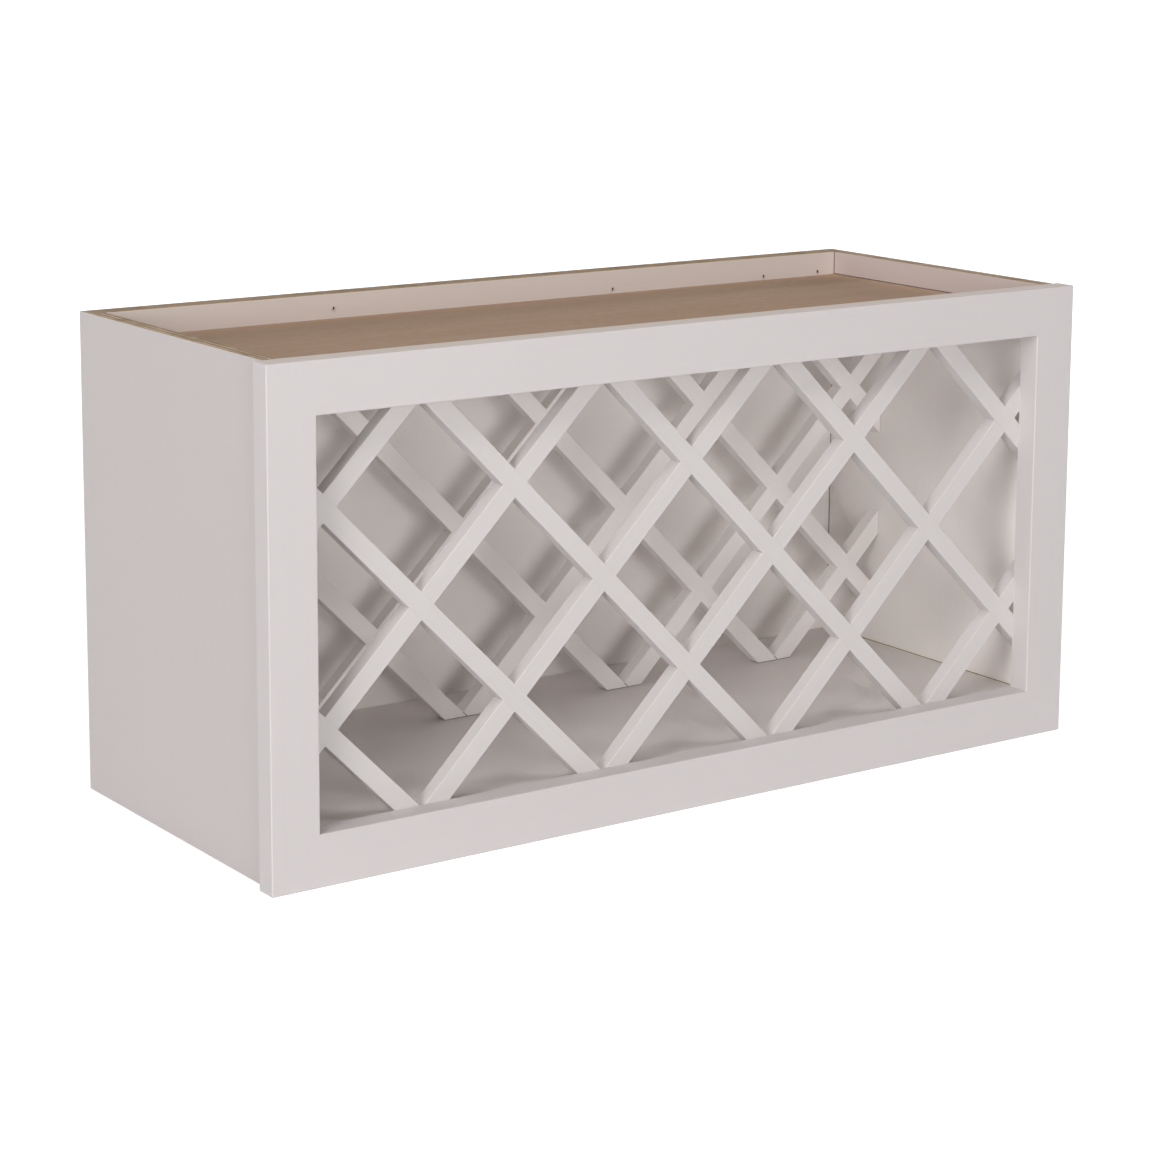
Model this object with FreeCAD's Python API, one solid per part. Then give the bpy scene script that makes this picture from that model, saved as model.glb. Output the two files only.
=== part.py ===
import FreeCAD, Part
import math
import os

# Wall wine rack: a face-frame wall cabinet with two half-lapped diagonal bottle lattices.
# Millimetres. +X right, +Z up, the front faces -Y. Origin: centre of the back face, on the wall.

# Overall size of the cabinet, over the face frame
cabinet_width = 762.0
cabinet_height = 381.0
cabinet_depth = 304.8

# Face frame
stile_width = 39.5
rail_width = 39.5
frame_thickness = 19.05
frame_ease = 1.0
frame_reveal = 6.35
tenon_length = 12.7
tenon_thickness = 6.35
tenon_shoulder = 6.35
groove_depth = 5.0
groove_stop = 12.7

# Plywood box
side_thickness = 12.7
deck_thickness = 12.7
back_thickness = 19.05
deck_recess = 20.0
side_lift = 0.8
dado_depth = 5.0

# Bottle lattices
slat_face = 15.2
slat_depth = 12.7
slat_chamfer = 0.4
cell_clear = 100.0
lattice_drop = 1.3
rear_lattice_setback = 217.0
shortest_slat = 50.0

# Clearances
fit_clearance = 0.2
dado_slack = 0.6
rabbet_slack = 0.5
lap_clearance = 0.05
lattice_clearance = 0.4

# Planes that the pieces share
half_width = cabinet_width / 2
half_height = cabinet_height / 2
frame_front = -cabinet_depth
frame_back = frame_front + frame_thickness
back_front = -back_thickness
opening_half_width = half_width - stile_width
opening_half_height = half_height - rail_width
side_outer = half_width - frame_reveal
side_inner = side_outer - side_thickness
side_bottom = -half_height + side_lift
floor_top = -half_height + deck_recess + deck_thickness
floor_bottom = floor_top - deck_thickness
ceiling_bottom = half_height - deck_recess - deck_thickness
ceiling_top = ceiling_bottom + deck_thickness
housed_half_width = side_inner + dado_depth - fit_clearance


def block(x_span, y_span, z_span):
    """Box between three pairs of coordinates."""
    low = FreeCAD.Vector(min(x_span), min(y_span), min(z_span))
    high = FreeCAD.Vector(max(x_span), max(y_span), max(z_span))
    size = high - low
    return Part.makeBox(size.x, size.y, size.z, low)


def export(node, shape):
    """Writes one piece, which has to be one solid, to its own STEP file."""
    solid, = shape.removeSplitter().Solids
    solid.exportStep(f"parts/{node}.step")


# Face frame, shaped as one blank and then parted into stiles and rails

def opening_edges(blank):
    """Front edges of the frame's opening."""
    found = []
    for edge in blank.Edges:
        span = edge.BoundBox
        at_front = max(abs(span.YMin - frame_front), abs(span.YMax - frame_front)) < frame_ease / 10
        in_width = max(abs(span.XMin), abs(span.XMax)) < opening_half_width + frame_ease / 10
        in_height = max(abs(span.ZMin), abs(span.ZMax)) < opening_half_height + frame_ease / 10
        if at_front and in_width and in_height:
            found.append(edge)
    return found


def frame_blank():
    """Frame with eased edges, and housings in its back for the fronts of the plywood panels."""
    blank = block((-half_width, half_width), (frame_front, frame_back), (-half_height, half_height))
    blank = blank.makeFillet(frame_ease, blank.Edges)
    opening = block(
        (-opening_half_width, opening_half_width),
        (frame_front - frame_thickness, frame_back + frame_thickness),
        (-opening_half_height, opening_half_height),
    )
    blank = blank.cut(opening)
    blank = blank.makeFillet(frame_ease, opening_edges(blank))
    housing_y = (frame_back - groove_depth - fit_clearance, frame_back + frame_thickness)
    for side in (-1, 1):
        blank = blank.cut(block(
            (side * (side_inner - fit_clearance), side * (side_outer + fit_clearance)),
            housing_y,
            (side_bottom + groove_stop - fit_clearance, half_height - groove_stop + fit_clearance),
        ))
    for low, high in ((floor_bottom, floor_top), (ceiling_bottom, ceiling_top)):
        reach = opening_half_width - groove_stop + fit_clearance
        blank = blank.cut(block((-reach, reach), housing_y, (low - fit_clearance, high + fit_clearance)))
    return blank


def tenon(side, level, clearance):
    """Stub tenon of a rail (level -1 bottom, 1 top) at one end, or its mortise with a clearance."""
    middle = (frame_front + frame_back) / 2
    start = side * (opening_half_width - clearance)
    end = side * (opening_half_width + tenon_length + clearance)
    cheek = tenon_thickness / 2 + clearance
    inner = opening_half_height + tenon_shoulder - clearance
    outer = half_height - tenon_shoulder + clearance
    return block((start, end), (middle - cheek, middle + cheek), (level * inner, level * outer))


def stile(blank, side):
    """Upright of the face frame, with a mortise for each rail."""
    post = blank.common(block(
        (side * opening_half_width, side * half_width),
        (frame_front, frame_back),
        (-half_height, half_height),
    ))
    for level in (-1, 1):
        post = post.cut(tenon(side, level, fit_clearance))
    return post


def rail(blank, level):
    """Cross member of the face frame, with a stub tenon at each end."""
    bar = blank.common(block(
        (-opening_half_width, opening_half_width),
        (frame_front, frame_back),
        (level * opening_half_height, level * half_height),
    ))
    for side in (-1, 1):
        bar = bar.fuse(tenon(side, level, 0.0))
    return bar


# Plywood box

def side_panel(side):
    """Side with a front tongue, a dado for each deck and a rabbet for the back."""
    panel = block((side * side_inner, side * side_outer), (frame_back, 0), (side_bottom, half_height))
    tongue = block(
        (side * side_inner, side * side_outer),
        (frame_back - groove_depth, frame_back),
        (side_bottom + groove_stop, half_height - groove_stop),
    )
    panel = panel.fuse(tongue)
    housed = (side * (side_inner - side_thickness), side * (side_inner + dado_depth))
    for low, high in ((floor_bottom, floor_top), (ceiling_bottom, ceiling_top)):
        panel = panel.cut(block(housed, (frame_back, 0), (low, high + dado_slack)))
    rabbet = block(housed, (back_front - rabbet_slack, back_thickness), (-cabinet_height, cabinet_height))
    return panel.cut(rabbet)


def deck(low, high):
    """Floor or ceiling panel, housed in the sides and tongued into its rail."""
    panel = block((-housed_half_width, housed_half_width), (frame_back, back_front), (low, high))
    reach = opening_half_width - groove_stop
    return panel.fuse(block((-reach, reach), (frame_back - groove_depth, frame_back), (low, high)))


def back_panel():
    """Full back, let into the rabbets of the sides, with its face on the wall."""
    return block((-housed_half_width, housed_half_width), (back_front, 0), (side_bottom, half_height))


# Bottle lattices: every slat is a length of one bar, lapped at each crossing

lattice_pitch = cell_clear + slat_face
lattice_level = -lattice_drop
lattice_half_width = side_inner - lattice_clearance
lattice_bottom = floor_top + lattice_clearance
lattice_top = ceiling_bottom - lattice_clearance
lattice_reach = math.hypot(cabinet_width, cabinet_height)


def slat_offsets():
    """Distances of the slats' centre lines from the lattice's centre, with a cell on the centre."""
    count = math.ceil(lattice_reach / lattice_pitch)
    return [(step + 0.5) * lattice_pitch for step in range(-count, count)]


def section(corners):
    """Face in the plane across a slat, from (depth, width) corners."""
    points = [FreeCAD.Vector(0, depth, across) for depth, across in corners]
    return Part.Face(Part.makePolygon(points + points[:1]))


def plain_section(depth_from, depth_to):
    edge = slat_face / 2
    return section([(depth_from, -edge), (depth_to, -edge), (depth_to, edge), (depth_from, edge)])


def chamfered_section():
    edge = slat_face / 2
    ease = slat_chamfer
    return section([
        (ease, -edge), (slat_depth - ease, -edge), (slat_depth, -edge + ease), (slat_depth, edge - ease),
        (slat_depth - ease, edge), (ease, edge), (0, edge - ease), (0, -edge + ease),
    ])


def lapped_bar(lap_from, lap_to):
    """Long bar along X, cut to the depths lap_from..lap_to where the other slats cross it."""
    lap_half = slat_face / 2 + lap_clearance
    crossings = slat_offsets()
    open_length = lattice_pitch - 2 * lap_half
    spans = []
    for crossing in crossings:
        lap = plain_section(lap_from, lap_to).extrude(FreeCAD.Vector(2 * lap_half, 0, 0))
        lap.translate(FreeCAD.Vector(crossing - lap_half, 0, 0))
        spans.append(lap)
    for crossing in crossings[:-1]:
        clear = chamfered_section().extrude(FreeCAD.Vector(open_length, 0, 0))
        clear.translate(FreeCAD.Vector(crossing + lap_half, 0, 0))
        spans.append(clear)
    return spans[0].multiFuse(spans[1:])


def slat_slope(rise):
    """Slope of a rising (1) or falling (-1) slat: both sets lie at 45 degrees, to cross squarely."""
    return rise * math.pi / 4


def run_length(offset, rise):
    """Length of a slat's centre line inside the lattice's outline."""
    slope = slat_slope(rise)
    along = (math.cos(slope), math.sin(slope))
    start = (-math.sin(slope) * offset, math.cos(slope) * offset + lattice_level)
    walls = ((-lattice_half_width, lattice_half_width), (lattice_bottom, lattice_top))
    enter, leave = -lattice_reach, lattice_reach
    for place, step, (low, high) in zip(start, along, walls):
        first, last = sorted(((low - place) / step, (high - place) / step))
        enter, leave = max(enter, first), min(leave, last)
    return leave - enter


def lattice(name, front):
    """Slats of one lattice whose front faces lie in the plane y = front."""
    outline = block(
        (-lattice_half_width, lattice_half_width),
        (front - slat_depth, front + 2 * slat_depth),
        (lattice_bottom, lattice_top),
    )
    falling = lapped_bar(0, slat_depth / 2)
    rising = lapped_bar(slat_depth / 2, slat_depth)
    for kind, rise, bar in (("falling", -1, falling), ("rising", 1, rising)):
        number = 0
        for offset in slat_offsets():
            if run_length(offset, rise) < shortest_slat:
                continue
            number += 1
            slat = bar.copy()
            slat.translate(FreeCAD.Vector(0, 0, offset))
            slat.rotate(FreeCAD.Vector(0, 0, 0), FreeCAD.Vector(0, -1, 0), math.degrees(slat_slope(rise)))
            slat.translate(FreeCAD.Vector(0, front, lattice_level))
            export(f"{name}_{kind}_slat_{number}", slat.common(outline))


os.makedirs("parts", exist_ok=True)

frame = frame_blank()
export("left_stile", stile(frame, -1))
export("right_stile", stile(frame, 1))
export("bottom_rail", rail(frame, -1))
export("top_rail", rail(frame, 1))

export("left_side_panel", side_panel(-1))
export("right_side_panel", side_panel(1))
export("bottom_panel", deck(floor_bottom, floor_top))
export("top_panel", deck(ceiling_bottom, ceiling_top))
export("back_panel", back_panel())

lattice("front", frame_back)
lattice("rear", frame_front + rear_lattice_setback)
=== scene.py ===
"""Wall wine rack: matte white cabinet with two bottle lattices, raw plywood where no paint went."""
import math

import bpy
from mathutils import Euler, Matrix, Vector


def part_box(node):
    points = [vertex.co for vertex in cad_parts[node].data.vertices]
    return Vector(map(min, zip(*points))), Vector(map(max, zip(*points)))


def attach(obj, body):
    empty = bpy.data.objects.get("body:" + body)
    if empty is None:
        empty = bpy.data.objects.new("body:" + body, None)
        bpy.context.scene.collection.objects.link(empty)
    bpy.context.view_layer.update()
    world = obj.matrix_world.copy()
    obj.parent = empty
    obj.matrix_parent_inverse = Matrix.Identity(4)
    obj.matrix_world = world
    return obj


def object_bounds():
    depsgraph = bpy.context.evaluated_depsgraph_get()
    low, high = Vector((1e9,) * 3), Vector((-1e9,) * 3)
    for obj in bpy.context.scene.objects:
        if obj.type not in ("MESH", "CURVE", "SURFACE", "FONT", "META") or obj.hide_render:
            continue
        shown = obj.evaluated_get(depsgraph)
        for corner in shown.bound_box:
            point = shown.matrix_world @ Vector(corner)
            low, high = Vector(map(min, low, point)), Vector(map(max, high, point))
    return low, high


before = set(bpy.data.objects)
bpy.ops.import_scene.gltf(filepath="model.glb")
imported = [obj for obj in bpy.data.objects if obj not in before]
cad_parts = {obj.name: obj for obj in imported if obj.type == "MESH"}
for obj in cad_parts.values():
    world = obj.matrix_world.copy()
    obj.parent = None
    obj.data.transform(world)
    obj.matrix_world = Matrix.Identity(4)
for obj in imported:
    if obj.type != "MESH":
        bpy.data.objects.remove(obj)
cad_low, cad_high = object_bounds()

# A millimetre in metres, and the hair's breadth that tells one face from the next
mm = 0.001
hair = 0.05 * mm

# Faces of the cabinet that the finishes and the small pieces keep to
side_low, side_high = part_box("right_side_panel")
back_low, back_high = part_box("back_panel")
deck_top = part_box("top_panel")[1].z
floor_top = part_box("bottom_panel")[1].z
slat_slope = math.radians(45)

# Rear feet: x + z along a falling slat's upper edge, height of the inner corner, step to the next foot
falling_low, falling_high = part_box("rear_falling_slat_3")
rising_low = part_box("rear_rising_slat_2")[0]
next_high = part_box("rear_falling_slat_4")[1]
foot_edge = falling_high.x + falling_low.z
foot_corner = (foot_edge - rising_low.x + rising_low.z) / 2
foot_step = next_high.x - falling_high.x

# Camera, for a square picture
image_side = 1153
focal_pixels = 2941.2
sensor_width = 36.0
camera_place = Vector((-1344.0, -2051.1, 509.7)) * mm
camera_turn = Euler((1.40244, -0.00547, -0.60969))
lens_drop = 0.16

# Studio: level is the light that a lamp gives a white card that faces it, where 1 is plain white
ambient_level = 0.03
backdrop_level = 1.0
backdrop_white = (1, 1, 1, 1)
floor_size = 60.0
floor_colour = (0.92, 0.92, 0.92, 1)
floor_shadow_colour = (0.3, 0.3, 0.3, 1)
floor_glow = 0.88
floor_clear_from = 0.9
floor_clear_at = 2.0
lamp_spread = 0.36
lamps = {
    "left": dict(azimuth=-65, elevation=11, distance=6.0, level=0.420),
    "front": dict(azimuth=-14, elevation=6, distance=3.2, level=0.345),
    "high_left": dict(azimuth=-58, elevation=46, distance=12.0, level=0.250),
    "high": dict(azimuth=10, elevation=62, distance=14.0, level=0.220),
    "rear": dict(azimuth=182, elevation=16, distance=5.0, level=0.54),
    "right": dict(azimuth=100, elevation=8, distance=5.0, level=0.55),
}

# Colours
white_paint = (0.618, 0.576, 0.575, 1)
side_paint = (0.587, 0.545, 0.541, 1)
# Painted light: the box's inner faces, the rear slats and the top's underside take the white paint far
# lighter than outside, for the light that bounces round inside the box.
inside_paint_with_painted_light = (0.920, 0.875, 0.850, 1)
# Painted light: the box's floor takes the white paint lighter than outside and darker than the inner
# walls, for the light that reaches it.
floor_paint_with_painted_light = (0.815, 0.768, 0.750, 1)
# Painted light: the front slats take the white paint a shade lighter than the frame, for how the light
# falls on their sides.
slat_paint_with_painted_light = (0.627, 0.591, 0.582, 1)
# Thin paint on the top edges and above the top panel: warmer than the white, and its lightness is
# painted light, set for the light on those faces.
thin_coat_and_painted_light = (0.745, 0.661, 0.613, 1)
side_thin_coat_and_painted_light = (0.635, 0.543, 0.515, 1)
veneer_light = (0.518, 0.372, 0.277, 1)
veneer_dark = (0.467, 0.320, 0.231, 1)
ply_light = (0.48, 0.355, 0.245, 1)
side_ply_light = (0.60, 0.46, 0.34, 1)
ply_dark = (0.235, 0.158, 0.098, 1)
# Dark of the open joints, also laid on the slats' feet as painted shade where they meet the floor.
joint_and_shade_dark = (0.27, 0.18, 0.12, 1)
# Cream rim where the paint laps onto a sawn edge: partly bare fibres under thin paint, partly a painted
# highlight along the edge.
bare_rim_and_highlight = (0.66, 0.56, 0.45, 1)
# Cream along the foot of the inner walls and the sides of the floor.
floor_edge_cream = (0.930, 0.860, 0.740, 1)
brad_steel = (0.014, 0.010, 0.009, 1)
brad_tarnish = (0.05, 0.034, 0.026, 1)

# Open joints, painted shade at the slats' feet, laps of paint, places where it stops, and cream at the
# floor
paint_lap = 0.8 * mm
lap_blur = 0.3 * mm
lap_edge = dict(scale=160.0, detail=3.0)
floor_strip = 4.0 * mm
side_foot_cream = 0.8
back_foot_cream = 0.3
outer_skin = 1.0 * mm
corner_line = 0.9 * mm
corner_core = 0.6 * corner_line
corner_shade = 0.85
# Height of the dark band at the slats' feet: the open joint and painted shade.
foot_line = 0.7 * mm
foot_seam = 0.45 * mm

# Ranges that most values of a noise lie in
noise_middle = (0.3, 0.7)
noise_wide = (0.25, 0.75)

# Paint film: noise scales are per metre
paint_clouds = dict(scale=6.0, detail=3.0)
paint_grain = dict(detail=4.0, roughness=0.6)
orange_peel = dict(scale=700.0, detail=1.5)
grain_scale_along = 9.0
grain_scale_across = 330.0
cloud_tint = (0.994, 1.006)
grain_tint = (0.994, 1.005)
paint_roughness = (0.80, 0.90)
paint_sheen = 0.02
paint_relief = 0.02 * mm

# Raw veneer: noise scales are per metre along the grain and across it
veneer_sway = dict(along=2.2, across=5.0, detail=2.0)
veneer_bands = dict(along=1.1, across=24.0, detail=4.0, roughness=0.55)
veneer_streaks = dict(along=9.0, across=260.0, detail=3.0, roughness=0.6)
veneer_flecks = dict(along=110.0, across=420.0, detail=2.0)
veneer_pores = dict(along=55.0, across=1700.0, detail=1.0)
sway_in_depth = 0.09
sway_in_height = 0.07
band_weight = 0.3
fleck_weight = 0.4
tone_range = (0.40, 0.62)
pore_range = (0.60, 0.70)
pore_shade = 0.35
pore_sink = 0.5
veneer_roughness = (0.62, 0.74)
raw_sheen = 0.0
veneer_relief = 0.08 * mm

# Sawn plywood
ply_thickness = 2.54 * mm
ply_waver = dict(scale=24.0, detail=2.0)
ply_fibres = dict(scale=900.0, detail=2.0)
ply_stains = dict(scale=45.0, detail=4.0, roughness=0.6)
waver_reach = 0.5 * ply_thickness
ply_change = (0.4, 0.6)
end_grain_shade = (0.45, 0.95)
end_grain_sink = 0.5
stain_range = (0.44, 0.68)
stain_shade = 0.6
sawn_roughness = (0.72, 0.85)
sawn_relief = 0.12 * mm

# Brad steel
steel_tarnish = dict(scale=2600.0, detail=2.0)
steel_roughness = (0.5, 0.75)
steel_metal = 0.2

# Brads that hold the back to the decks, by x and z in mm: four missed, and their points show inside
missed_brads = ((-161.0, 179.5), (115.0, 175.0), (280.0, 174.5), (342.0, 174.5))
deck_line = 164.2
upper_brads = tuple((x, deck_line) for x in (-330.0, -240.0, -60.0, 30.0, 205.0))
lower_brads = tuple((x, -deck_line) for x in (-330.0, -220.0, -110.0, 0.0, 110.0, 220.0, 330.0))
wire_width = 1.0 * mm
wire_thickness = 1.0 * mm
wire_reach = 0.8 * mm
wire_droop = 1.5 * mm
wire_lean = 1.1 * mm
wire_ease = 0.1 * wire_width
stem_bend = 0.2
tip_reach = 0.35 * wire_reach
tip_taper = 0.65
head_width = 1.9 * mm
head_sink = 0.3 * mm
head_stand = 0.08 * mm
head_depth = head_sink + head_stand
head_taper = 0.6
head_ease = 0.2 * head_depth

# Splinters round the brad points
splinter_length = 0.9 * mm
splinter_radius = 0.25 * mm
splinter_tip = 0.25 * splinter_radius
splinter_lean = 0.5 * splinter_radius
splinter_ease = 0.15 * splinter_radius
splinter_sides = 5
splinter_tilt = math.radians(20)
splinter_turns = (25, 80, 140, 190, 255, 320)
burst_radius = 0.7 * mm

# Eased edges of the small pieces
ease_segments = 2
smooth_angle = math.radians(35)


# Node helpers

def add(tree, kind, inputs=None, **settings):
    """New node. Each input is a plain value, or an output socket to link from."""
    made = tree.nodes.new(kind)
    for name, value in settings.items():
        setattr(made, name, value)
    for socket, value in (inputs or {}).items():
        if isinstance(value, bpy.types.NodeSocket):
            tree.links.new(value, made.inputs[socket])
        else:
            made.inputs[socket].default_value = value
    return made


def calc(tree, operation, first, second=0.0):
    return add(tree, "ShaderNodeMath", {0: first, 1: second}, operation=operation).outputs[0]


def either(tree, first, second):
    return calc(tree, "MAXIMUM", first, second)


def rescale(tree, value, low, high, new_low, new_high):
    """Value moved from one range to another and held inside it."""
    limits = {1: low, 2: high, 3: new_low, 4: new_high}
    return add(tree, "ShaderNodeMapRange", {0: value, **limits}, clamp=True).outputs[0]


def mix_colour(tree, share, first, second):
    return add(tree, "ShaderNodeMix", {0: share, 6: first, 7: second}, data_type="RGBA").outputs[2]


def mix_value(tree, share, first, second):
    return add(tree, "ShaderNodeMix", {0: share, 2: first, 3: second}, data_type="FLOAT").outputs[0]


def axes(tree, place):
    return add(tree, "ShaderNodeSeparateXYZ", {0: place}).outputs


def stretch(tree, place, factors):
    return add(tree, "ShaderNodeVectorMath", {0: place, 1: factors}, operation="MULTIPLY").outputs[0]


def noise(tree, place, scale=1.0, detail=3.0, roughness=0.5):
    inputs = {"Vector": place, "Scale": scale, "Detail": detail, "Roughness": roughness}
    return add(tree, "ShaderNodeTexNoise", inputs).outputs[0]


def grain_noise(tree, place, along, across, **pattern):
    """Noise drawn out along X, as wood grain is."""
    return noise(tree, stretch(tree, place, (along, across, across)), **pattern)


def effect(name, inputs, outputs):
    """Empty shader group with named sockets: its tree, and its input and output nodes."""
    tree = bpy.data.node_groups.new(name, "ShaderNodeTree")
    for label, kind in inputs.items():
        tree.interface.new_socket(label, in_out="INPUT", socket_type=kind)
    for label, kind in outputs.items():
        tree.interface.new_socket(label, in_out="OUTPUT", socket_type=kind)
    return tree, add(tree, "NodeGroupInput"), add(tree, "NodeGroupOutput")


surface_outputs = {
    "Colour": "NodeSocketColor",
    "Roughness": "NodeSocketFloat",
    "Height": "NodeSocketFloat",
}


def give(tree, ends, colour, roughness, height):
    """Links a group's colour, roughness and height to its outputs."""
    for label, socket in (("Colour", colour), ("Roughness", roughness), ("Height", height)):
        tree.links.new(socket, ends.inputs[label])


# Effects that several finishes share

def paint_film_effect():
    """Sprayed matte paint: faint clouds, the wood's grain showing through, and orange peel."""
    inputs = {"Place": "NodeSocketVector", "Grain": "NodeSocketVector", "Paint": "NodeSocketColor"}
    tree, start, ends = effect("paint_film", inputs, surface_outputs)
    place = start.outputs["Place"]
    clouds = noise(tree, place, **paint_clouds)
    grain = noise(tree, stretch(tree, place, start.outputs["Grain"]), **paint_grain)
    peel = noise(tree, place, **orange_peel)
    cloud_shade = rescale(tree, clouds, *noise_middle, *cloud_tint)
    grain_shade = rescale(tree, grain, *noise_middle, *grain_tint)
    shade = calc(tree, "MULTIPLY", cloud_shade, grain_shade)
    tinted = {0: start.outputs["Paint"], "Scale": shade}
    paint = add(tree, "ShaderNodeVectorMath", tinted, operation="SCALE").outputs[0]
    roughness = rescale(tree, clouds, *noise_wide, *paint_roughness)
    height = calc(tree, "MULTIPLY", calc(tree, "ADD", peel, grain), paint_relief)
    give(tree, ends, paint, roughness, height)
    return tree


def veneer_effect():
    """Raw rotary-cut veneer with its grain along X: broad bands, streaks, flecks and dark pores."""
    inputs = {"Place": "NodeSocketVector", "Light": "NodeSocketColor", "Dark": "NodeSocketColor"}
    tree, start, ends = effect("raw_veneer", inputs, surface_outputs)
    place = start.outputs["Place"]
    dark = start.outputs["Dark"]
    sway = grain_noise(tree, place, **veneer_sway)
    in_depth = calc(tree, "MULTIPLY", sway, sway_in_depth)
    in_height = calc(tree, "MULTIPLY", sway, sway_in_height)
    drift = add(tree, "ShaderNodeCombineXYZ", {"Y": in_depth, "Z": in_height}).outputs[0]
    moved = {0: place, 1: drift}
    swayed = add(tree, "ShaderNodeVectorMath", moved, operation="ADD").outputs[0]
    bands = grain_noise(tree, swayed, **veneer_bands)
    streaks = grain_noise(tree, swayed, **veneer_streaks)
    flecks = grain_noise(tree, swayed, **veneer_flecks)
    pores = grain_noise(tree, swayed, **veneer_pores)
    pore_mask = rescale(tree, pores, *pore_range, 0.0, 1.0)
    tone = calc(tree, "MULTIPLY", calc(tree, "ADD", bands, streaks), band_weight)
    tone = calc(tree, "ADD", tone, calc(tree, "MULTIPLY", flecks, fleck_weight))
    wood = mix_colour(tree, rescale(tree, tone, *tone_range, 0.0, 1.0), dark, start.outputs["Light"])
    wood = mix_colour(tree, calc(tree, "MULTIPLY", pore_mask, pore_shade), wood, dark)
    roughness = rescale(tree, streaks, *noise_middle, *veneer_roughness)
    height = calc(tree, "SUBTRACT", streaks, calc(tree, "MULTIPLY", pore_mask, pore_sink))
    give(tree, ends, wood, roughness, calc(tree, "MULTIPLY", height, veneer_relief))
    return tree


def ply_edge_effect():
    """Sawn edge of plywood: plies of long grain and end grain by turns across the thickness."""
    inputs = {"Place": "NodeSocketVector", "Across": "NodeSocketFloat",
              "Light": "NodeSocketColor", "Dark": "NodeSocketColor"}
    tree, start, ends = effect("ply_edge", inputs, surface_outputs)
    place = start.outputs["Place"]
    dark = start.outputs["Dark"]
    waver = calc(tree, "MULTIPLY", noise(tree, place, **ply_waver), waver_reach)
    ply = calc(tree, "DIVIDE", calc(tree, "ADD", start.outputs["Across"], waver), ply_thickness)
    end_grain = rescale(tree, calc(tree, "PINGPONG", ply, 1.0), *ply_change, 0.0, 1.0)
    fibres = noise(tree, place, **ply_fibres)
    stains = noise(tree, place, **ply_stains)
    share = calc(tree, "MULTIPLY", end_grain, rescale(tree, fibres, *noise_middle, *end_grain_shade))
    wood = mix_colour(tree, share, start.outputs["Light"], dark)
    wood = mix_colour(tree, rescale(tree, stains, *stain_range, 0.0, stain_shade), wood, dark)
    roughness = rescale(tree, fibres, *noise_middle, *sawn_roughness)
    height = calc(tree, "SUBTRACT", fibres, calc(tree, "MULTIPLY", end_grain, end_grain_sink))
    give(tree, ends, wood, roughness, calc(tree, "MULTIPLY", height, sawn_relief))
    return tree


paint_film = paint_film_effect()
raw_veneer = veneer_effect()
ply_edge = ply_edge_effect()


# Finishes of the wooden pieces

grain_along = {
    "x": (grain_scale_along, grain_scale_across, grain_scale_across),
    "z": (grain_scale_across, grain_scale_across, grain_scale_along),
}


def open_material(name):
    """New material: its tree, its shader, and where a point lies on the object."""
    made = bpy.data.materials.new(name)
    made.use_nodes = True
    shader = made.node_tree.nodes["Principled BSDF"]
    place = add(made.node_tree, "ShaderNodeTexCoord").outputs["Object"]
    return made, made.node_tree, shader, place


def use(tree, group, inputs):
    """Places a shared effect in a material: its colour, roughness and height."""
    made = add(tree, "ShaderNodeGroup", inputs, node_tree=group).outputs
    return made["Colour"], made["Roughness"], made["Height"]


def cover(tree, share, under, over):
    """One surface laid over another, where share is 1."""
    colour = mix_colour(tree, share, under[0], over[0])
    return colour, mix_value(tree, share, under[1], over[1]), mix_value(tree, share, under[2], over[2])


def finish_with(tree, shader, surface, sheen=paint_sheen):
    """Joins a surface's colour, roughness and relief to the shader."""
    colour, roughness, height = surface
    tree.links.new(colour, shader.inputs["Base Color"])
    tree.links.new(roughness, shader.inputs["Roughness"])
    bump = add(tree, "ShaderNodeBump", {"Height": height, "Strength": 1.0, "Distance": 1.0})
    tree.links.new(bump.outputs[0], shader.inputs["Normal"])
    shader.inputs["Specular IOR Level"].default_value = sheen


def frame_finish(name, grain):
    """Painted stile or rail, with the grain along one axis and little paint on its top edge, where the
    colour is also lighter as painted light.
    """
    made, tree, shader, place = open_material(name)
    on_top = calc(tree, "GREATER_THAN", axes(tree, place)["Z"], cad_high.z - hair)
    coat = mix_colour(tree, on_top, white_paint, thin_coat_and_painted_light)
    surface = use(tree, paint_film, {"Place": place, "Grain": grain_along[grain], "Paint": coat})
    finish_with(tree, shader, surface)
    return made


def foot_seams(tree, place):
    """1 on the seams that run from the feet's inner corners down the falling slats' edges, else 0."""
    at = axes(tree, place)
    past = calc(tree, "SUBTRACT", calc(tree, "ADD", at["X"], at["Z"]), foot_edge)
    near = calc(tree, "LESS_THAN", calc(tree, "PINGPONG", past, foot_step / 2), foot_seam)
    return calc(tree, "MULTIPLY", near, calc(tree, "LESS_THAN", at["Z"], foot_corner))


def slat_finish(name, coat, slope, seamed):
    """Painted slat with the grain along its slope, dark at the open joints of its foot, with painted
    shade where it meets the floor.
    """
    made, tree, shader, place = open_material(name)
    turned = add(tree, "ShaderNodeMapping", {"Vector": place, "Rotation": (0, slope, 0)}).outputs[0]
    surface = use(tree, paint_film, {"Place": turned, "Grain": grain_along["x"], "Paint": coat})
    # Dark band at the foot: the open joint, widened into painted shade where the slat meets the floor.
    in_joint_and_shade = calc(tree, "LESS_THAN", axes(tree, place)["Z"], floor_top + foot_line)
    if seamed:
        in_joint_and_shade = either(tree, in_joint_and_shade, foot_seams(tree, place))
    finish_with(tree, shader, (mix_colour(tree, in_joint_and_shade, surface[0], joint_and_shade_dark), *surface[1:]))
    return made


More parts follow.
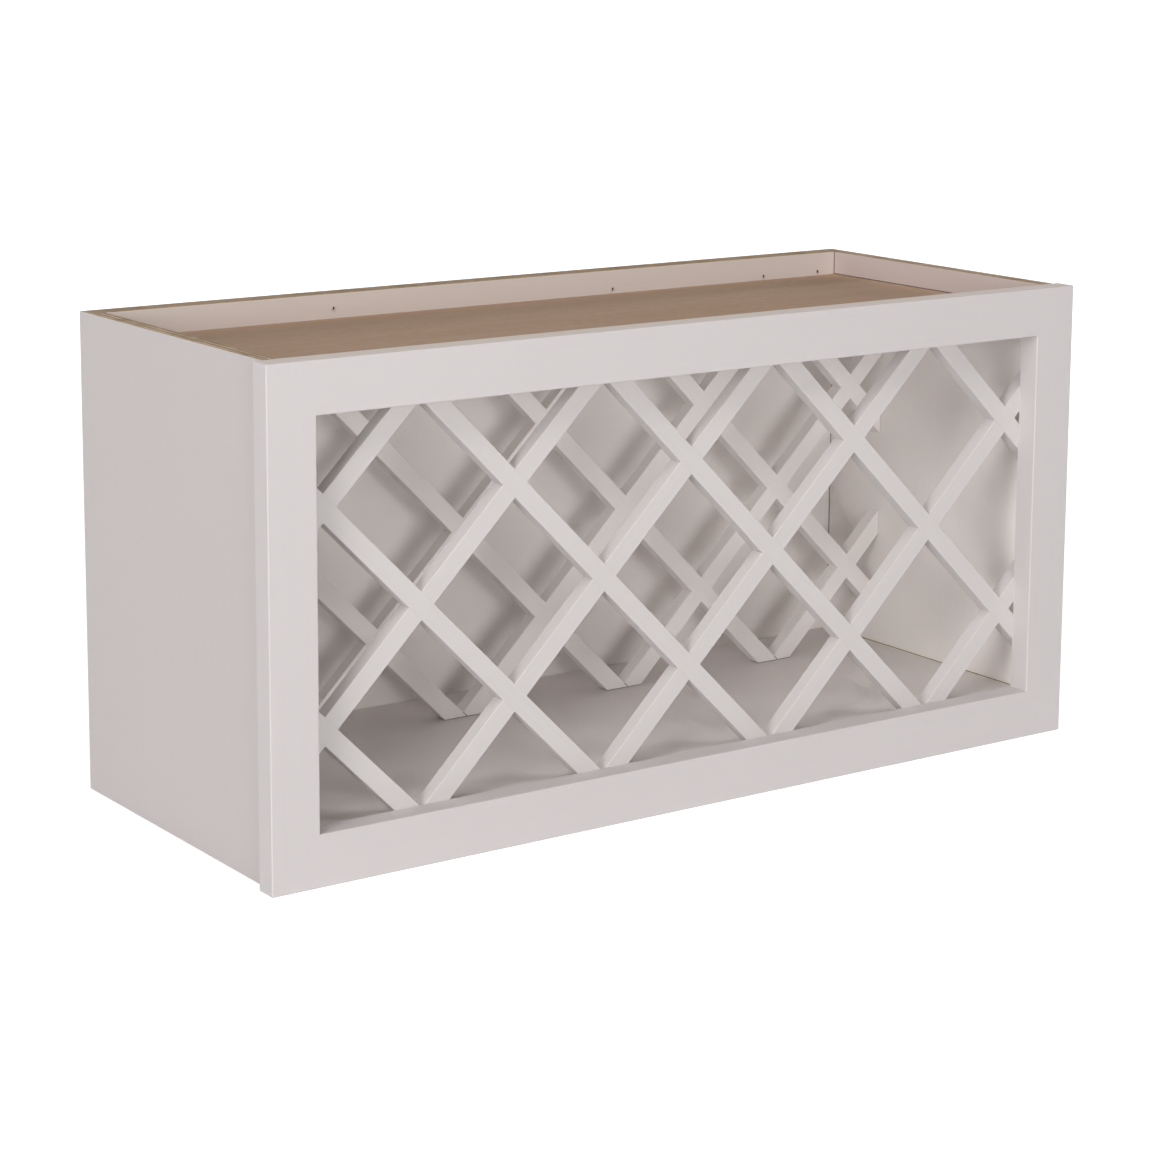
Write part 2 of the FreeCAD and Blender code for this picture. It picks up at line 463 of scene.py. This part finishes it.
def bare_share(tree, place, depth):
    """Share of bare wood on a sawn edge: paint laps a little way onto it from where depth is 0."""
    ragged = calc(tree, "MULTIPLY", noise(tree, place, **lap_edge), paint_lap * 2)
    return rescale(tree, calc(tree, "SUBTRACT", depth, ragged), -lap_blur, lap_blur, 0.0, 1.0)


def inside_coat_with_painted_light(tree, z, thin, foot_cream):
    """Paint of the box's inner faces, lighter than outside as painted light for the light inside the
    box: a thin coat above the top panel, whose lightness is painted light too, and cream down at the
    floor.
    """
    coat = mix_colour(tree, calc(tree, "GREATER_THAN", z, deck_top), inside_paint_with_painted_light, thin)
    foot = rescale(tree, z, floor_top, floor_top + floor_strip, foot_cream, 0.0)
    return mix_colour(tree, foot, coat, floor_edge_cream)


def side_panel_finish():
    """Painted plywood side, dark in its joints, with bare plies on its top, bottom and rear edges."""
    made, tree, shader, place = open_material("side_panel_finish")
    x, y, z = axes(tree, place)
    across = calc(tree, "SUBTRACT", calc(tree, "ABSOLUTE", x), side_low.x)
    depth = calc(tree, "SUBTRACT", side_high.x - side_low.x, across)
    in_joint_and_shade = calc(tree, "GREATER_THAN", depth, outer_skin)
    coat = mix_colour(tree, in_joint_and_shade, side_paint, joint_and_shade_dark)
    inner = inside_coat_with_painted_light(tree, z, side_thin_coat_and_painted_light, side_foot_cream)
    coat = mix_colour(tree, calc(tree, "LESS_THAN", across, hair), coat, inner)
    paint = use(tree, paint_film, {"Place": place, "Grain": grain_along["z"], "Paint": coat})
    plies = {"Place": place, "Across": across, "Light": side_ply_light, "Dark": ply_dark}
    edge = use(tree, ply_edge, plies)
    at_top = calc(tree, "GREATER_THAN", z, side_high.z - hair)
    at_bottom = calc(tree, "LESS_THAN", z, side_low.z + hair)
    at_rear = calc(tree, "GREATER_THAN", y, side_high.y - hair)
    sawn = either(tree, either(tree, at_top, at_bottom), at_rear)
    bare = calc(tree, "MULTIPLY", sawn, bare_share(tree, place, depth))
    rim = mix_colour(tree, sawn, paint[0], bare_rim_and_highlight)
    finish_with(tree, shader, cover(tree, bare, (rim, *paint[1:]), edge))
    return made


def back_panel_finish():
    """Painted inside, dark in its side joints, raw veneer on the wall side, bare plies on the edges."""
    made, tree, shader, place = open_material("back_panel_finish")
    x, y, z = axes(tree, place)
    coat = inside_coat_with_painted_light(tree, z, thin_coat_and_painted_light, back_foot_cream)
    paint = use(tree, paint_film, {"Place": place, "Grain": grain_along["x"], "Paint": coat})
    across = calc(tree, "SUBTRACT", y, back_low.y)
    edge = use(tree, ply_edge, {"Place": place, "Across": across, "Light": ply_light, "Dark": ply_dark})
    veneer = use(tree, raw_veneer, {"Place": place, "Light": veneer_light, "Dark": veneer_dark})
    at_top = calc(tree, "GREATER_THAN", z, back_high.z - hair)
    at_bottom = calc(tree, "LESS_THAN", z, back_low.z + hair)
    sawn = either(tree, at_top, at_bottom)
    wall_side = calc(tree, "GREATER_THAN", y, back_high.y - hair)
    bare = calc(tree, "MULTIPLY", sawn, bare_share(tree, place, across))
    rim = mix_colour(tree, sawn, paint[0], bare_rim_and_highlight)
    corner = calc(tree, "SUBTRACT", side_low.x, calc(tree, "ABSOLUTE", x))
    open_joint = rescale(tree, corner, corner_core, corner_line, corner_shade, 0.0)
    shown = mix_colour(tree, open_joint, rim, joint_and_shade_dark)
    surface = cover(tree, bare, (shown, *paint[1:]), edge)
    finish_with(tree, shader, cover(tree, wall_side, surface, veneer))
    return made


def top_panel_finish():
    """Raw veneer on the upper face; below, paint lightened as painted light for the light inside the
    box.
    """
    made, tree, shader, place = open_material("top_panel_finish")
    paint = use(tree, paint_film, {"Place": place, "Grain": grain_along["x"], "Paint": inside_paint_with_painted_light})
    veneer = use(tree, raw_veneer, {"Place": place, "Light": veneer_light, "Dark": veneer_dark})
    upper = calc(tree, "GREATER_THAN", axes(tree, place)["Z"], deck_top - hair)
    finish_with(tree, shader, cover(tree, upper, paint, veneer), raw_sheen)
    return made


def bottom_panel_finish():
    """Floor in paint lightened as painted light, cream along the sides, and dark ends in the joints."""
    made, tree, shader, place = open_material("bottom_panel_finish")
    paint = use(tree, paint_film, {"Place": place, "Grain": grain_along["x"], "Paint": floor_paint_with_painted_light})
    off_centre = calc(tree, "ABSOLUTE", axes(tree, place)["X"])
    reach = calc(tree, "SUBTRACT", off_centre, side_low.x - floor_strip)
    # Cream strip along the sides of the floor.
    thin = rescale(tree, reach, 0.0, floor_strip, 0.0, side_foot_cream)
    shown = mix_colour(tree, thin, paint[0], floor_edge_cream)
    in_joint_and_shade = calc(tree, "GREATER_THAN", reach, floor_strip)
    finish_with(tree, shader, (mix_colour(tree, in_joint_and_shade, shown, joint_and_shade_dark), *paint[1:]))
    return made


def dress(node, material):
    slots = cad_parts[node].data.materials
    slots.clear()
    slots.append(material)


def dress_cabinet():
    stile_paint = frame_finish("stile_paint", "z")
    rail_paint = frame_finish("rail_paint", "x")
    side_finish = side_panel_finish()
    slat_finishes = {
        "front_falling": slat_finish("front_falling_slat_paint", slat_paint_with_painted_light, -slat_slope, seamed=False),
        "front_rising": slat_finish("front_rising_slat_paint", slat_paint_with_painted_light, slat_slope, seamed=False),
        "rear_falling": slat_finish("rear_falling_slat_paint", inside_paint_with_painted_light, -slat_slope, seamed=True),
        "rear_rising": slat_finish("rear_rising_slat_paint", inside_paint_with_painted_light, slat_slope, seamed=True),
    }
    finishes = {
        "left_stile": stile_paint,
        "right_stile": stile_paint,
        "bottom_rail": rail_paint,
        "top_rail": rail_paint,
        "left_side_panel": side_finish,
        "right_side_panel": side_finish,
        "bottom_panel": bottom_panel_finish(),
        "top_panel": top_panel_finish(),
        "back_panel": back_panel_finish(),
    }
    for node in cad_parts:
        lattice = node.split("_slat")[0]
        dress(node, slat_finishes[lattice] if lattice in slat_finishes else finishes[node])


# Brads

def steel_finish():
    made, tree, shader, place = open_material("brad_steel_finish")
    tarnish = noise(tree, place, **steel_tarnish)
    shade = mix_colour(tree, tarnish, brad_steel, brad_tarnish)
    tree.links.new(shade, shader.inputs["Base Color"])
    tree.links.new(rescale(tree, tarnish, *noise_middle, *steel_roughness), shader.inputs["Roughness"])
    shader.inputs["Metallic"].default_value = steel_metal
    return made


def splinter_finish():
    made, tree, shader, place = open_material("splinter_finish")
    edge = use(tree, ply_edge, {"Place": place, "Across": 0.0, "Light": bare_rim_and_highlight, "Dark": ply_dark})
    finish_with(tree, shader, edge)
    return made


def start_piece(name, primitive, **settings):
    """New primitive under its own name, alone in the selection."""
    bpy.ops.object.select_all(action="DESELECT")
    primitive(**settings)
    piece = bpy.context.object
    piece.name = piece.data.name = name
    bpy.ops.object.transform_apply(location=True, rotation=True, scale=True)
    return piece


def pick(piece, rule):
    """Opens a piece for editing with the corners selected that a rule holds for."""
    bpy.ops.object.mode_set(mode="EDIT")
    bpy.ops.mesh.select_mode(type="VERT")
    bpy.ops.mesh.select_all(action="DESELECT")
    bpy.ops.object.mode_set(mode="OBJECT")
    for corner in piece.data.vertices:
        corner.select = rule(corner.co)
    bpy.ops.object.mode_set(mode="EDIT")


def draw_out(by, taper):
    """Extrudes the selected face and narrows its end."""
    bpy.ops.mesh.extrude_region_move(TRANSFORM_OT_translate={"value": by})
    bpy.ops.transform.resize(value=(taper, taper, taper))


def ease(piece, width):
    """Small bevel on all edges, applied."""
    bpy.ops.object.mode_set(mode="OBJECT")
    bevel = piece.modifiers.new("ease", "BEVEL")
    bevel.width = width
    bevel.segments = ease_segments
    bpy.ops.object.modifier_apply(modifier=bevel.name)
    bpy.ops.object.shade_smooth_by_angle(angle=smooth_angle)


def lay_out(model, name, places):
    """Copies of a model at each place and turn, joined into one piece. The model itself goes."""
    copies = []
    for place, turn in places:
        copy = model.copy()
        copy.data = model.data.copy()
        copy.location = place
        copy.rotation_euler = turn
        bpy.context.collection.objects.link(copy)
        copies.append(copy)
    bpy.data.objects.remove(model)
    bpy.ops.object.select_all(action="DESELECT")
    for copy in copies:
        copy.select_set(True)
    bpy.context.view_layer.objects.active = copies[0]
    bpy.ops.object.transform_apply(location=True, rotation=True, scale=True)
    bpy.ops.object.join()
    piece = bpy.context.object
    piece.name = piece.data.name = name
    return piece


def brad_point():
    """End of a brad that came through the back: square wire, bent aside and narrowed at its tip."""
    piece = start_piece("brad_point", bpy.ops.mesh.primitive_cube_add, size=1,
                        scale=(wire_width, wire_thickness, wire_thickness))
    pick(piece, lambda corner: corner.y < -wire_thickness / 2 + hair)
    draw_out((-stem_bend * wire_lean, -wire_reach, -stem_bend * wire_droop), 1.0)
    draw_out((-wire_lean, -tip_reach, -wire_droop), tip_taper)
    ease(piece, wire_ease)
    return piece


def brad_head():
    """Head of a brad, driven into the back's rear face until it barely stands out."""
    piece = start_piece("brad_head", bpy.ops.mesh.primitive_cube_add, size=1,
                        scale=(head_width, head_depth, wire_thickness))
    pick(piece, lambda corner: corner.y < 0)
    draw_out((0, -head_depth, 0), head_taper)
    ease(piece, head_ease)
    return piece


def veneer_burst():
    """Splinters that stand round the hole where a brad came through."""
    splinter = start_piece("splinter", bpy.ops.mesh.primitive_cone_add, vertices=splinter_sides,
                           depth=splinter_length, radius1=splinter_radius, radius2=splinter_tip)
    pick(splinter, lambda corner: corner.z > 0)
    bpy.ops.transform.translate(value=(splinter_lean, -splinter_radius, 0))
    ease(splinter, splinter_ease)
    ring = []
    for degrees in splinter_turns:
        turn = math.radians(degrees)
        place = (burst_radius * math.sin(turn), 0, burst_radius * math.cos(turn))
        ring.append((place, (splinter_tilt, turn, 0)))
    return lay_out(splinter, "veneer_burst", ring)


def fit_out(piece, material):
    """Gives a piece its finish and its place on the rack."""
    piece.data.materials.clear()
    piece.data.materials.append(material)
    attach(piece, "root")


def add_brads():
    steel = steel_finish()
    rear_y = back_high.y + head_stand - head_depth / 2
    all_brads = missed_brads + upper_brads + lower_brads
    inner = [((x * mm, back_low.y, z * mm), (0, 0, 0)) for x, z in missed_brads]
    rear = [((x * mm, rear_y, z * mm), (0, 0, 0)) for x, z in all_brads]
    fit_out(lay_out(brad_point(), "brad_points", inner), steel)
    fit_out(lay_out(veneer_burst(), "brad_bursts", inner), splinter_finish())
    fit_out(lay_out(brad_head(), "brad_heads", rear), steel)


# Studio

def studio_camera():
    data = bpy.data.cameras.new("camera")
    data.sensor_width = sensor_width
    data.lens = focal_pixels * sensor_width / image_side
    data.shift_y = -lens_drop
    camera = bpy.data.objects.new("camera", data)
    camera.location = camera_place
    camera.rotation_euler = camera_turn
    bpy.context.scene.collection.objects.link(camera)
    bpy.context.scene.camera = camera


def seen_directly(tree):
    """1 for the camera's own rays and for what shines or shows through, 0 for light on the object."""
    path = add(tree, "ShaderNodeLightPath").outputs
    through = either(tree, path["Is Glossy Ray"], path["Is Transmission Ray"])
    return either(tree, path["Is Camera Ray"], through)


def studio_world():
    """White backdrop for the camera, and a little light from all round for the rack."""
    world = bpy.data.worlds.new("studio")
    world.use_nodes = True
    tree = world.node_tree
    tree.nodes.clear()
    light = add(tree, "ShaderNodeBackground", {"Color": backdrop_white, "Strength": ambient_level})
    backdrop = add(tree, "ShaderNodeBackground", {"Color": backdrop_white, "Strength": backdrop_level})
    parts = {0: seen_directly(tree), 1: light.outputs[0], 2: backdrop.outputs[0]}
    shown = add(tree, "ShaderNodeMixShader", parts)
    add(tree, "ShaderNodeOutputWorld", {"Surface": shown.outputs[0]})
    bpy.context.scene.world = world


def studio_floor():
    """Pale floor that the rack stands on: it reads white and keeps a soft shadow."""
    bpy.ops.object.select_all(action="DESELECT")
    bpy.ops.mesh.primitive_plane_add(size=floor_size, location=(0, 0, cad_low.z))
    floor = bpy.context.object
    floor.name = "studio_floor"
    made = bpy.data.materials.new("studio_floor")
    made.use_nodes = True
    tree = made.node_tree
    tree.nodes.clear()
    lit = add(tree, "ShaderNodeBsdfDiffuse", {"Color": floor_colour})
    shaded = add(tree, "ShaderNodeBsdfDiffuse", {"Color": floor_shadow_colour})
    place = add(tree, "ShaderNodeTexCoord").outputs["Object"]
    away = add(tree, "ShaderNodeVectorMath", {0: place}, operation="LENGTH").outputs["Value"]
    level = rescale(tree, away, floor_clear_from, floor_clear_at, floor_glow, backdrop_level)
    glow = add(tree, "ShaderNodeEmission", {"Color": backdrop_white, "Strength": level})
    shown = add(tree, "ShaderNodeAddShader", {0: shaded.outputs[0], 1: glow.outputs[0]})
    parts = {0: seen_directly(tree), 1: lit.outputs[0], 2: shown.outputs[0]}
    both = add(tree, "ShaderNodeMixShader", parts)
    add(tree, "ShaderNodeOutputMaterial", {"Surface": both.outputs[0]})
    floor.data.materials.append(made)


def studio_lamp(name, azimuth, elevation, distance, level):
    """Square soft lamp that faces the rack. Azimuth is from the front, to the right."""
    centre = (cad_low + cad_high) / 2
    turn = math.radians(azimuth)
    rise = math.radians(elevation)
    towards = Vector((math.sin(turn) * math.cos(rise), -math.cos(turn) * math.cos(rise), math.sin(rise)))
    data = bpy.data.lights.new(name, "AREA")
    data.size = lamp_spread * distance
    data.energy = level * math.pi ** 2 * distance ** 2
    lamp = bpy.data.objects.new(name, data)
    lamp.location = centre + towards * distance
    lamp.rotation_euler = towards.to_track_quat("Z", "Y").to_euler()
    lamp.visible_camera = False
    bpy.context.scene.collection.objects.link(lamp)


dress_cabinet()
add_brads()
studio_camera()
studio_world()
studio_floor()
for lamp_name, lamp_values in lamps.items():
    studio_lamp(lamp_name, **lamp_values)
bpy.context.scene.view_settings.view_transform = "Standard"
